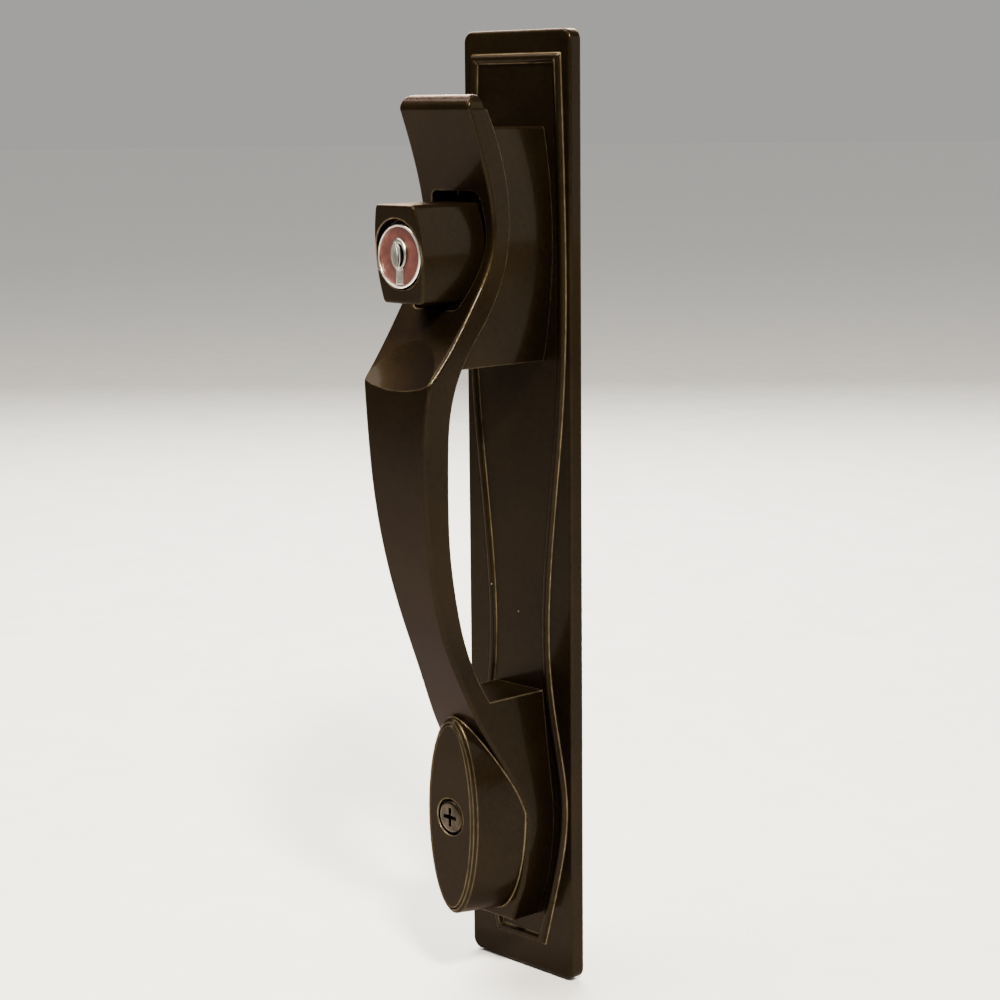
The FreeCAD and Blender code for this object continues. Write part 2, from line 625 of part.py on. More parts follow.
def hollow_for_thumb():
    """Cut a shallow ball-shaped hollow into the slope above the ridge."""
    (upper_out, upper_height), (crest_out, crest_height) = THUMB_LINE[-2:]
    slope = math.hypot(crest_out - upper_out, upper_height - crest_height)
    outwards = (upper_height - crest_height) / slope
    upwards = (crest_out - upper_out) / slope
    away = size("thumb_dish_radius") - size("thumb_dish_depth")
    ball = pull.newObject("PartDesign::SubtractiveSphere", "thumb_dish")
    ball.setExpression("Radius", "Sizes.thumb_dish_radius")
    ball.Placement.Base = V(0, -(FRONT + crest_out + away * outwards),
                            crest_height + away * upwards)
    doc.recompute()


hollow_for_thumb()

boss_front = new_sketch(pull, "XZ_Plane", "boss_out")
add_ellipse(boss_front, "boss_half_width", "boss_half_height", "boss_centre_height")
boss_foot = new_sketch(pull, "XZ_Plane", "boss_foot_out")
add_ellipse(boss_foot, "boss_foot_half_width", "boss_foot_half_height", "boss_centre_height")
feature(pull, "AdditiveLoft", boss_foot, Sections=[boss_front])
doc.recompute()
round_edges(pull, "boss_chamfer", lambda edge: lies_at(edge, size("boss_out")), "Chamfer")

sketch = new_sketch(pull, "XZ_Plane", "boss_out")
add_ellipse(sketch, "cap_half_width", "cap_half_height", "boss_centre_height", size("cap_gap"))
cut(pull, sketch, "Sizes.cap_sink")
sketch = new_sketch(pull, "XZ_Plane", "boss_out")
add_circle(sketch, "cap_screw_radius", "boss_centre_height")
cut(pull, sketch, "Sizes.cap_sink + Sizes.cap_screw_length + Sizes.tip_room")

sketch = new_sketch(pull, "XZ_Plane", "guide_front_out")
add_barrel(sketch, OPENING_OUTLINE)
cut(pull, sketch, "Sizes.trim_width", outwards=True)
opening_levels = (OPENING_OUTLINE[0][1], OPENING_OUTLINE[-1][1])
round_edges(pull, "opening_corner_radius", lambda edge: runs_out(edge) and any(
    abs(edge.BoundBox.ZMin - level) < NEAR for level in opening_levels))
sketch = new_sketch(pull, "XZ_Plane", "plate_thickness")
add_barrel(sketch, BUTTON_OUTLINE, size("guide_gap"))
cut(pull, sketch, "Sizes.guide_front_out", outwards=True)
sketch = new_sketch(pull, "XZ_Plane", "plate_thickness")
add_barrel(sketch, BUTTON_OUTLINE, size("guide_gap") + size("flange_reach"))
cut(pull, sketch, "Sizes.guide_rear_out - Sizes.plate_thickness", outwards=True)

sketch = new_sketch(pull, "XZ_Plane", "plate_thickness")
add_circle(sketch, "post_stud_radius", "upper_post_height")
add_circle(sketch, "post_stud_radius", "lower_post_height")
cut(pull, sketch, "Sizes.post_stud_length", outwards=True)
sketch = new_sketch(pull, "XZ_Plane", "plate_thickness")
add_circle(sketch, "plate_screw_radius", "upper_plate_screw_height")
add_circle(sketch, "plate_screw_radius", "lower_plate_screw_height")
cut(pull, sketch, "Sizes.plate_screw_length - Sizes.plate_thickness + Sizes.tip_room",
    outwards=True)

# ---------------------------------------------------------------- oval cap and its screw
cap = new_body("oval_cap")
sketch = new_sketch(cap, "XZ_Plane", "cap_rear_out")
add_ellipse(sketch, "cap_half_width", "cap_half_height", "boss_centre_height")
pad(cap, sketch, "Sizes.cap_thickness")
round_edges(cap, "cap_edge_chamfer", lambda edge: lies_at(edge, size("cap_front_out")), "Chamfer")
sketch = new_sketch(cap, "XZ_Plane", "cap_front_out")
add_circle(sketch, "cap_dish_radius", "boss_centre_height")
cut(cap, sketch, "Sizes.cap_dish_depth")
sketch = new_sketch(cap, "XZ_Plane", "cap_front_out")
add_circle(sketch, "cap_hole_radius", "boss_centre_height")
cut(cap, sketch)


seat = size("cap_front_out") - size("cap_dish_depth")
head_front = seat + size("cap_screw_head_height")
cap_screw = turned("cap_screw", [
    (0, seat - size("cap_screw_length")),
    (size("cap_screw_radius"), seat - size("cap_screw_length")),
    (size("cap_screw_radius"), seat),
    (size("cap_screw_head_radius"), seat),
    (size("cap_screw_head_radius"), head_front),
    (0, head_front),
], "boss_centre_height")
round_edges(cap_screw, "cap_screw_dome", lambda edge: lies_at(edge, head_front))
sketch = new_sketch(cap_screw, "XZ_Plane", "cap_screw_front_out")
add_cross(sketch, "recess_width", "recess_length")
cut(cap_screw, sketch, "Sizes.recess_depth")

# ---------------------------------------------------------------- push button
button = new_body("push_button")
sketch = new_sketch(button, "YZ_Plane")
rise = size("trim_width") / 2
lean = rise * math.tan(math.radians(size("button_tilt")))
middle = size("lock_height")
rear = size("flange_rear_out")
face = size("button_out")
add_polygon(sketch, [(-rear, middle - rise), (-(face - lean), middle - rise),
                     (-(face + lean), middle + rise), (-rear, middle + rise)])
pad(button, sketch, "Sizes.trim_width", both_ways=True)
trim_to(button, lambda sketch: add_barrel(sketch, BUTTON_OUTLINE))
round_edges(button, "button_side_radius", runs_out)
round_edges(button, "button_edge_radius", lambda edge: edge.BoundBox.YMax < -(face - lean / 2)
            and not runs_out(edge))
sketch = new_sketch(button, "XZ_Plane", "flange_rear_out")
add_barrel(sketch, BUTTON_OUTLINE, size("flange_reach"))
pad(button, sketch, "Sizes.flange_thickness")
sketch = new_sketch(button, "XZ_Plane", "flange_rear_out")
add_circle(sketch, "spring_pocket_radius", "lock_height")
cut(button, sketch, "Sizes.web_rear_out - Sizes.flange_rear_out", outwards=True)
sketch = new_sketch(button, "XZ_Plane", "flange_rear_out")
add_circle(sketch, "web_hole_radius", "lock_height")
cut(button, sketch, "Sizes.web_front_out - Sizes.flange_rear_out", outwards=True)
sketch = new_sketch(button, "XZ_Plane", "web_front_out")
add_circle(sketch, "shell_seat_radius", "lock_height")
cut(button, sketch, "Sizes.trim_width", outwards=True)
sketch = new_sketch(button, "XZ_Plane", "shell_front_out")
add_circle(sketch, "head_pocket_radius", "lock_height")
cut(button, sketch, "Sizes.trim_width", outwards=True)
sketch = new_sketch(button, "XZ_Plane", "shell_front_out")
add_circle(sketch, "head_pocket_radius", "head_pocket_top")
cut(button, sketch, "Sizes.trim_width", outwards=True)
sketch = new_sketch(button, "XY_Plane")
hole = sketch.addGeometry(Part.Circle(V(0, -size("set_screw_out"), 0), V(0, 0, 1),
                                      size("set_screw_radius")))
drive(sketch, Sketcher.Constraint("Radius", hole, size("set_screw_radius")), "set_screw_radius")
cut(button, sketch, "Sizes.lock_height", outwards=True)

set_screw = new_body("cylinder_set_screw", "set_screw_height")
sketch = new_sketch(set_screw, "XY_Plane")
rod = sketch.addGeometry(Part.Circle(V(0, -size("set_screw_out"), 0), V(0, 0, 1),
                                     size("set_screw_radius")))
drive(sketch, Sketcher.Constraint("Radius", rod, size("set_screw_radius")), "set_screw_radius")
pad(set_screw, sketch, "Sizes.set_screw_length")
sketch = new_sketch(set_screw, "XY_Plane")
across = size("set_screw_socket") / math.cos(math.radians(30))
add_polygon(sketch, [(across * math.cos(math.radians(60 * n)),
                      across * math.sin(math.radians(60 * n)) - size("set_screw_out"))
                     for n in range(6)])
cut(set_screw, sketch, "Sizes.set_screw_length / 2", outwards=True)

# ---------------------------------------------------------------- lock cylinder and key plug
shell_rear, shell_front = size("shell_rear_out"), size("shell_front_out")
shell = turned("cylinder_shell", [
    (size("shell_bore_radius"), shell_rear),
    (size("shell_radius"), shell_rear),
    (size("shell_radius"), shell_front),
    (size("shell_bore_radius"), shell_front),
], "lock_height")
sketch = new_sketch(shell, "XZ_Plane", "shell_rear_out")
add_box(sketch, "shell_slot_width", "shell_slot_height")
cut(shell, sketch, "Sizes.shell_slot_length", outwards=True)

clip_front, clip_rear = size("clip_front_out"), size("clip_rear_out")
gap = size("clip_gap")
plug_rear, shoulder = size("plug_rear_out"), size("plug_shoulder_out")
plug_radius, groove = size("plug_radius"), size("clip_groove_radius")
plug = turned("key_plug", [
    (0, plug_rear), (plug_radius, plug_rear),
    (plug_radius, clip_rear - gap), (groove, clip_rear - gap),
    (groove, clip_front + gap), (plug_radius, clip_front + gap),
    (plug_radius, shoulder), (size("face_radius"), shoulder),
    (size("face_radius"), size("face_rear_out")), (0, size("face_rear_out")),
], "lock_height")
sketch = new_sketch(plug, "XZ_Plane", "face_rear_out")
add_box(sketch, "keyway_width", "keyway_height")
cut(plug, sketch, "Sizes.face_rear_out - Sizes.plug_rear_out - Sizes.tail_root"
    " - Sizes.keyway_floor")
sketch = new_sketch(plug, "XZ_Plane", "face_rear_out")
add_box(sketch, "keyway_mouth_width", "keyway_height")
cut(plug, sketch, "Sizes.keyway_mouth_depth")
sketch = new_sketch(plug, "XZ_Plane", "plug_rear_out")
add_box(sketch, "tail_slot_thickness", "tail_slot_width")
cut(plug, sketch, "Sizes.tail_root + Sizes.tail_gap", outwards=True)
sketch = new_sketch(plug, "XZ_Plane", "first_wafer_out")
add_box(sketch, "wafer_slot_width", "wafer_slot_height")
slot = cut(plug, sketch, "Sizes.wafer_slot_thickness", both_ways=True)
sketch = new_sketch(plug, "XZ_Plane", "first_wafer_out")
cell_left = size("wafer_slot_width") / 2
cell_right = cell_left + size("spring_cell_width")
cell_half = size("spring_cell_height") / 2
add_polygon(sketch, [(0, -cell_half), (cell_right, -cell_half),
                     (cell_right, cell_half), (0, cell_half)])
cell = cut(plug, sketch, "Sizes.spring_cell_depth", both_ways=True)


repeat_out(plug, [slot, cell], "wafer_count", "wafer_pitch")

wafers = new_body("wafer_tumblers", "lock_height")
sketch = new_sketch(wafers, "XZ_Plane", "first_wafer_out")
add_box(sketch, "wafer_width", "wafer_height")
add_box(sketch, "wafer_window_width", "wafer_window_height")
plate_of_wafer = pad(wafers, sketch, "Sizes.wafer_thickness", both_ways=True)
sketch = new_sketch(wafers, "XZ_Plane", "first_wafer_out")
ear_left = size("wafer_width") / 2 - size("wafer_ear_root")
ear_right = size("wafer_width") / 2 + size("wafer_ear_length")
ear_low = size("wafer_ear_level") - size("wafer_ear_height") / 2
ear_high = size("wafer_ear_level") + size("wafer_ear_height") / 2
add_polygon(sketch, [(ear_left, ear_low), (ear_right, ear_low),
                     (ear_right, ear_high), (ear_left, ear_high)])
ear = pad(wafers, sketch, "Sizes.wafer_thickness", both_ways=True)
repeat_out(wafers, [plate_of_wafer, ear], "wafer_count", "wafer_pitch")


clip = new_body("plug_clip", "lock_height")
sketch = new_sketch(clip, "XZ_Plane", "clip_rear_out")
add_circle(sketch, "clip_outer_radius")
add_circle(sketch, "clip_inner_radius")
pad(clip, sketch, "Sizes.clip_thickness")
sketch = new_sketch(clip, "XZ_Plane")
mouth = size("clip_mouth") / 2
reach = size("clip_outer_radius") + 1
add_polygon(sketch, [(-mouth, -reach), (mouth, -reach), (mouth, 0), (-mouth, 0)])
cut(clip, sketch, both_ways=True)

bezel_bore = size("face_radius") + size("fit_gap")
bezel_wall_rear = size("plug_shoulder_out")
lip_rear = size("plug_face_out") - size("bezel_lip_thickness")
bezel = turned("plug_bezel", [
    (bezel_bore, bezel_wall_rear),
    (size("plug_head_radius"), bezel_wall_rear),
    (size("plug_head_radius"), size("plug_face_out")),
    (size("bezel_lip_radius"), size("plug_face_out")),
    (size("bezel_lip_radius"), lip_rear),
    (bezel_bore, lip_rear),
], "lock_height")
round_edges(bezel, "bezel_round", lambda edge: lies_at(edge, size("plug_face_out"))
            and edge.BoundBox.XLength > 2 * size("plug_head_radius") - NEAR)

# The key slots are drawn as (right, up) pairs from the plug's axis, each side from the top.
WIDE_SLOT = ([(0.1, 3.3), (0.85, 0.8), (0.4, -2.6)], [(1.3, 3.1), (2.45, 0.8), (1.2, -2.6)])
THIN_SLOT = ([(-1.1, 3.3), (-0.1, 0.8), (-0.2, -2.6)], [(-0.6, 3.4), (0.35, 0.8), (0.1, -2.6)])


def draw_key_slot(sketch, sides):
    """One curved slot for the key."""
    left, right = sides
    add_curve(sketch, left)
    add_curve(sketch, right)
    add_curve(sketch, [left[0], right[0]])
    add_curve(sketch, [left[-1], right[-1]])


def draw_oval(sketch):
    """The raised oval of the keyhole piece."""
    add_ellipse(sketch, "keyhole_half_width", "keyhole_half_height", "keyhole_level")


def draw_stem(sketch):
    """The straight stem that runs down from the oval."""
    add_box(sketch, "stem_width", "stem_height", size("stem_level"))


plug_face = new_body("plug_face", "lock_height")
sketch = new_sketch(plug_face, "XZ_Plane", "face_rear_out")
add_circle(sketch, "face_radius")
pad(plug_face, sketch, "Sizes.face_thickness")
for draw in (draw_oval, draw_stem):
    sketch = new_sketch(plug_face, "XZ_Plane", "face_rear_out")
    draw(sketch)
    cut(plug_face, sketch, "Sizes.face_thickness", outwards=True)

insert = new_body("keyhole_insert", "lock_height")
sketch = new_sketch(insert, "XZ_Plane", "face_rear_out")
draw_oval(sketch)
pad(insert, sketch, "Sizes.keyhole_thickness")
keyhole_front = size("face_rear_out") + size("keyhole_thickness")
round_edges(insert, "keyhole_edge_radius", lambda edge: lies_at(edge, keyhole_front))
sketch = new_sketch(insert, "XZ_Plane", "face_rear_out")
draw_stem(sketch)
pad(insert, sketch, "Sizes.stem_thickness")
for sides in (WIDE_SLOT, THIN_SLOT):
    sketch = new_sketch(insert, "XZ_Plane", "face_rear_out")
    draw_key_slot(sketch, sides)
    cut(insert, sketch, "Sizes.trim_width", outwards=True)

tail = new_body("tailpiece", "lock_height")
sketch = new_sketch(tail, "XZ_Plane", "plug_rear_out")
add_box(sketch, "tail_thickness", "tail_width")
made = pad(tail, sketch, "Sizes.plug_rear_out + Sizes.tail_reach")
made.Reversed = True
sketch = new_sketch(tail, "XZ_Plane", "plug_rear_out")
add_box(sketch, "tail_thickness", "tail_width")
pad(tail, sketch, "Sizes.tail_root")

# ---------------------------------------------------------------- button spring and its seat
seat_washer = turned("spring_seat", [
    (size("tail_hole_radius"), FRONT),
    (size("seat_radius"), FRONT),
    (size("seat_radius"), FRONT + size("seat_thickness")),
    (size("tail_hole_radius"), FRONT + size("seat_thickness")),
], "lock_height")

spring = new_body("button_spring", "lock_height")
sketch = new_sketch(spring, "XY_Plane")
spring_front = size("web_rear_out") - size("spring_wire") - size("fit_gap")
add_wire(sketch, "spring_radius", "spring_wire", -spring_front)
coil(spring, sketch, "V_Axis", "Sizes.spring_height", "Sizes.spring_turns")

wafer_springs = new_body("wafer_springs", "lock_height")
sketch = new_sketch(wafer_springs, "XZ_Plane", "first_wafer_out")
spring_line = (size("wafer_width") + size("wafer_ear_length")) / 2 + size("wafer_ear_root")
spring_foot = ear_low - size("wafer_spring_height") - size("wafer_spring_wire")
spring_foot -= size("fit_gap")
axis_line = sketch.addGeometry(Part.LineSegment(V(spring_line, spring_foot, 0),
                                                V(spring_line, spring_foot + 1, 0)))
sketch.toggleConstruction(axis_line)
wire = sketch.addGeometry(Part.Circle(V(spring_line + size("wafer_spring_radius"), spring_foot, 0),
                                      V(0, 0, 1), size("wafer_spring_wire")))
drive(sketch, Sketcher.Constraint("Radius", wire, size("wafer_spring_wire")), "wafer_spring_wire")
first_coil = coil(wafer_springs, sketch, "Axis0", "Sizes.wafer_spring_height",
                  "Sizes.wafer_spring_turns")
repeat_out(wafer_springs, [first_coil], "wafer_count", "wafer_pitch")


# ---------------------------------------------------------------- fixings behind the plate


post_end = size("post_end_out")
post_base = size("post_shoulder_out")
bore_end = post_end + size("post_bore_length")
stud_end = post_base + size("post_stud_length")
post_radius, bevel = size("post_radius"), size("post_chamfer")
bore, stud = size("post_bore_radius"), size("post_stud_radius")
posts = turned("mounting_posts", [
    (bore, post_end), (post_radius - bevel, post_end), (post_radius, post_end + bevel),
    (post_radius, post_base), (stud, post_base), (stud, stud_end),
    (0, stud_end), (0, bore_end), (bore, bore_end),
], "upper_post_height")
turned_post = posts.Tip
sketch = new_sketch(posts, "XZ_Plane", "post_end_out")
add_box(sketch, "post_slot_length", "post_slot_width")
slot = cut(posts, sketch, "Sizes.post_slot_depth", outwards=True)
second_below(posts, [turned_post, slot], "post_spacing")

washers = new_body("toothed_washers", "upper_post_height")
sketch = new_sketch(washers, "XZ_Plane", "post_shoulder_out")
add_circle(sketch, "washer_hole_radius")
teeth = int(size("washer_teeth"))
star = []
for step in range(4 * teeth):
    radius = size("washer_radius") if step % 4 < 2 else size("washer_notch_radius")
    turn = math.radians(360 * step / (4 * teeth))
    star.append((radius * math.cos(turn), radius * math.sin(turn)))
add_polygon(sketch, star)
one_washer = pad(washers, sketch, "Sizes.washer_thickness")
second_below(washers, [one_washer], "post_spacing")

head_out = size("plate_screw_sink")
head_radius = size("plate_screw_head_radius")
shank_radius = size("plate_screw_radius")
plate_screws = turned("plate_screws", [
    (0, head_out), (head_radius, head_out),
    (shank_radius, head_out + head_radius - shank_radius),
    (shank_radius, size("plate_screw_length")), (0, size("plate_screw_length")),
], "upper_plate_screw_height")
turned_screw = plate_screws.Tip
sketch = new_sketch(plate_screws, "XZ_Plane")
add_cross(sketch, "recess_width", "recess_length")
recess = cut(plate_screws, sketch, "Sizes.plate_screw_recess_depth", outwards=True)
second_below(plate_screws, [turned_screw, recess], "plate_screw_spacing")

# ---------------------------------------------------------------- check and write
doc.recompute()
for item in doc.Objects:
    if "Invalid" in item.State or "Error" in item.State:
        raise RuntimeError("%s is %s" % (item.Label, item.State))
for body in doc.findObjects("PartDesign::Body"):
    if body.Shape.isNull() or not body.Shape.isValid():
        raise RuntimeError("%s has no sound shape" % body.Label)
    body.Shape.exportStep("parts/%s.step" % body.Label)
    print("%-20s %d solids %9.1f mm3"
          % (body.Label, len(body.Shape.Solids), body.Shape.Volume))
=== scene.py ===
"""The push-button pull handle in a plain studio: materials, light and camera on the CAD frame."""

import math

import bpy
from mathutils import Matrix, Vector

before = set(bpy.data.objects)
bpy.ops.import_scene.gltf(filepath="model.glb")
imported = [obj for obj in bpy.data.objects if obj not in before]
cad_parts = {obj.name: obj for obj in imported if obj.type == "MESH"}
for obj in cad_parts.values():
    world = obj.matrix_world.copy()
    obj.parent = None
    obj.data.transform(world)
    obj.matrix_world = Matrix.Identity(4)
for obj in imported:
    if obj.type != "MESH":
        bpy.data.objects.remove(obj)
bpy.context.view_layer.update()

# ---------------------------------------------------------------- camera
CAMERA_PLACE = (0.459146, -0.443567, 0.107736)
CAMERA_AZIMUTH, CAMERA_ELEVATION, CAMERA_ROLL = 46.69, 9.34, -0.51
CAMERA_LENS, CAMERA_SENSOR = 86.43, 36.0


def add_camera():
    """The photograph's view of the handle."""
    azimuth, elevation, roll = (math.radians(angle) for angle in
                                (CAMERA_AZIMUTH, CAMERA_ELEVATION, CAMERA_ROLL))
    back = Vector((math.sin(azimuth) * math.cos(elevation),
                   -math.cos(azimuth) * math.cos(elevation), math.sin(elevation)))
    right = Vector((0, 0, 1)).cross(back).normalized()
    up = back.cross(right)
    tilted_right = math.cos(roll) * right + math.sin(roll) * up
    tilted_up = math.cos(roll) * up - math.sin(roll) * right
    data = bpy.data.cameras.new("camera")
    data.lens = CAMERA_LENS
    data.sensor_width = CAMERA_SENSOR
    data.clip_start = 0.01
    camera = bpy.data.objects.new("camera", data)
    bpy.context.scene.collection.objects.link(camera)
    turn = Matrix((tilted_right, tilted_up, back)).transposed()
    camera.matrix_world = Matrix.Translation(CAMERA_PLACE) @ turn.to_4x4()
    bpy.context.scene.camera = camera


add_camera()


# ---------------------------------------------------------------- node helpers
def add_node(tree, kind, inputs=None, **settings):
    """A node with its settings, its inputs set to values or linked from sockets."""
    node = tree.nodes.new(kind)
    for name, value in settings.items():
        setattr(node, name, value)
    for name, value in (inputs or {}).items():
        if isinstance(value, bpy.types.NodeSocket):
            tree.links.new(value, node.inputs[name])
        else:
            node.inputs[name].default_value = value
    return node


def add_noise(tree, place, scale, detail=3.0, roughness=0.5):
    """Noise between about 0.25 and 0.75; scale is in features per metre."""
    return add_node(tree, "ShaderNodeTexNoise",
                    {"Vector": place, "Scale": scale, "Detail": detail, "Roughness": roughness}
                    ).outputs["Fac"]


def add_range(tree, value, low, high, to_low=0.0, to_high=1.0):
    """value from low to high becomes to_low to to_high, held at the ends."""
    return add_node(tree, "ShaderNodeMapRange",
                    {"Value": value, "From Min": low, "From Max": high,
                     "To Min": to_low, "To Max": to_high}).outputs["Result"]


def add_math(tree, operation, first, second=0.0):
    """One sum on two numbers."""
    return add_node(tree, "ShaderNodeMath", {0: first, 1: second}, operation=operation
                    ).outputs["Value"]


def add_mix(tree, factor, first, second):
    """A colour between two colours."""
    node = add_node(tree, "ShaderNodeMix", data_type="RGBA")
    parts = ((node.inputs[0], factor), (node.inputs[6], first), (node.inputs[7], second))
    for socket, value in parts:
        if isinstance(value, bpy.types.NodeSocket):
            tree.links.new(value, socket)
        elif socket is node.inputs[0]:
            socket.default_value = value
        else:
            socket.default_value = (*value, 1.0)
    return node.outputs[2]


def add_edges(tree, width):
    """(rounded normal, 0 to 1 mask of the edges), from normals averaged over a small width."""
    rounded = add_node(tree, "ShaderNodeBevel", {"Radius": width}, samples=6).outputs["Normal"]
    flat = add_node(tree, "ShaderNodeNewGeometry").outputs["Normal"]
    match = add_node(tree, "ShaderNodeVectorMath", {0: rounded, 1: flat}, operation="DOT_PRODUCT"
                     ).outputs["Value"]
    return rounded, add_range(tree, match, 0.995, 0.85)


def start_material(name):
    """A material with an empty tree: its tree and its place socket in metres."""
    material = bpy.data.materials.new(name)
    material.use_nodes = True
    tree = material.node_tree
    tree.nodes.clear()
    place = add_node(tree, "ShaderNodeTexCoord").outputs["Object"]
    return material, tree, place


def end_material(tree, color, roughness, height, normal, bump, **plain):
    """The Principled shader with its bump, and the plain numbers that its sockets hold."""
    relief = add_node(tree, "ShaderNodeBump",
                      {"Height": height, "Normal": normal, "Strength": 1.0, "Distance": bump}
                      ).outputs["Normal"]
    shader = add_node(tree, "ShaderNodeBsdfPrincipled",
                      {"Base Color": color, "Roughness": roughness, "Normal": relief})
    for name, value in plain.items():
        shader.inputs[name.replace("_", " ")].default_value = value
    output = add_node(tree, "ShaderNodeOutputMaterial")
    tree.links.new(shader.outputs[0], output.inputs["Surface"])


# ---------------------------------------------------------------- materials
# Colours are linear red, green and blue; the glance is the tint of reflections seen at a low angle.
BRONZE_DEEP = (0.0036, 0.0021, 0.0009)
BRONZE_WARM = (0.0064, 0.0041, 0.0017)
# pale bronze for the edges: some rubbed wear, mostly a painted highlight
BRONZE_WEAR_AND_HIGHLIGHT = (0.2000, 0.1550, 0.0950)
BRONZE_GLANCE = (0.50, 0.40, 0.26, 1.0)
DUST = (0.32, 0.28, 0.22)
SPECKLE_GAIN = 1.6          # how much lighter the paint's speckles are than its warm colour
HOLLOW_SHADE_LEFT = 0.03          # how much of a metal's dull colour is left in a hollow darkened by painted shade
LOCK_HEIGHT = 0.07035       # the lock's axis above the middle of the plate, in metres


def bronze_coat(name, gloss, seed):
    """Baked dark bronze paint on a casting: orange peel, cloudy gloss, rubbed edges lightened as a
    painted highlight, dust.
    """
    material, tree, place = start_material(name)
    place = add_node(tree, "ShaderNodeVectorMath", {0: place, 1: (seed, seed, seed)},
                     operation="ADD").outputs[0]
    normal, edge = add_edges(tree, 0.0007)
    cloud = add_noise(tree, place, 38, detail=4)
    mottle = add_noise(tree, place, 900, detail=2)
    peel = add_noise(tree, place, 2600, detail=2)
    color = add_mix(tree, add_range(tree, cloud, 0.35, 0.65), BRONZE_DEEP, BRONZE_WARM)
    speckle = add_range(tree, mottle, 0.3, 0.7, 0.0, 0.35)
    color = add_mix(tree, speckle, color, tuple(SPECKLE_GAIN * part for part in BRONZE_WARM))
    patchy = add_range(tree, add_noise(tree, place, 260), 0.3, 0.65, 0.35, 1.0)
    # Edges turn pale bronze: some rubbed wear, and a painted highlight along the rounded edges.
    rub_and_highlight = add_math(tree, "MULTIPLY", edge, patchy)
    color = add_mix(tree, add_math(tree, "MULTIPLY", rub_and_highlight, 0.6), color, BRONZE_WEAR_AND_HIGHLIGHT)
    cells = add_node(tree, "ShaderNodeTexVoronoi", {"Vector": place, "Scale": 105.0})
    dot = add_range(tree, cells.outputs["Distance"], 0.020, 0.012)
    chosen = add_node(tree, "ShaderNodeSeparateColor", {"Color": cells.outputs["Color"]})
    dust = add_math(tree, "MULTIPLY", dot, add_range(tree, chosen.outputs["Red"], 0.80, 0.81))
    color = add_mix(tree, dust, color, DUST)
    roughness = add_range(tree, cloud, 0.3, 0.7, gloss - 0.04, gloss + 0.06)
    roughness = add_math(tree, "SUBTRACT", roughness, add_math(tree, "MULTIPLY", rub_and_highlight, 0.08))
    height = add_math(tree, "ADD", peel, dust)
    end_material(tree, color, roughness, height, normal, 0.00002,
                 Metallic=0.7, Specular_IOR_Level=0.06, Specular_Tint=BRONZE_GLANCE,
                 Coat_Weight=0.06, Coat_Roughness=0.10)
    return material


def plated_metal(name, bright, dull, gloss, seed, scratch=1.0, bevel=0.00025, painted_hollow_shade=0.0):
    """Plated or bare metal: fine rubbing marks, duller patches, polished edges, painted shade in
    corners.
    """
    material, tree, place = start_material(name)
    place = add_node(tree, "ShaderNodeVectorMath", {0: place, 1: (seed, seed, seed)},
                     operation="ADD").outputs[0]
    normal, edge = add_edges(tree, bevel)
    patches = add_noise(tree, place, 240, detail=5)
    lengthwise = add_node(tree, "ShaderNodeMapping", {"Vector": place, "Scale": (1.0, 12.0, 12.0)}
                          ).outputs[0]
    marks = add_noise(tree, lengthwise, 900, detail=4, roughness=0.7)
    color = add_mix(tree, add_range(tree, patches, 0.35, 0.7), bright, dull)
    color = add_mix(tree, add_math(tree, "MULTIPLY", edge, 0.5), color, bright)
    # Painted shade: the colour goes near black where ambient occlusion finds a corner, slot or
    # recess.
    open_sky = add_node(tree, "ShaderNodeAmbientOcclusion", {"Distance": 0.0015}, samples=8
                        ).outputs["AO"]
    color = add_mix(tree, add_range(tree, open_sky, 0.75, 0.35, 0.0, painted_hollow_shade), color,
                    tuple(HOLLOW_SHADE_LEFT * part for part in dull))
    roughness = add_range(tree, patches, 0.3, 0.75, gloss, gloss + 0.16)
    roughness = add_math(tree, "ADD", roughness, add_range(tree, marks, 0.4, 0.7, 0.0, 0.08))
    end_material(tree, color, roughness, marks, normal, 0.000004 * scratch, Metallic=1.0)
    return material


def face_enamel(name, deep, light):
    """The plug's brownish red face: thin lacquer over fine concentric turning marks."""
    material, tree, place = start_material(name)
    normal = add_edges(tree, 0.0002)[0]
    centred = add_node(tree, "ShaderNodeVectorMath", {0: place, 1: (0.0, 0.0, LOCK_HEIGHT)},
                       operation="SUBTRACT").outputs[0]
    rings = add_node(tree, "ShaderNodeTexWave",
                     {"Vector": centred, "Scale": 900.0, "Distortion": 1.5, "Detail": 2.0},
                     wave_type="RINGS", rings_direction="Y").outputs["Fac"]
    stain = add_noise(tree, place, 420, detail=4)
    color = add_mix(tree, add_range(tree, stain, 0.35, 0.7), deep, light)
    roughness = add_range(tree, stain, 0.3, 0.7, 0.30, 0.44)
    end_material(tree, color, roughness, rings, normal, 0.000003,
                 Metallic=0.55, Coat_Weight=0.4, Coat_Roughness=0.2)
    return material


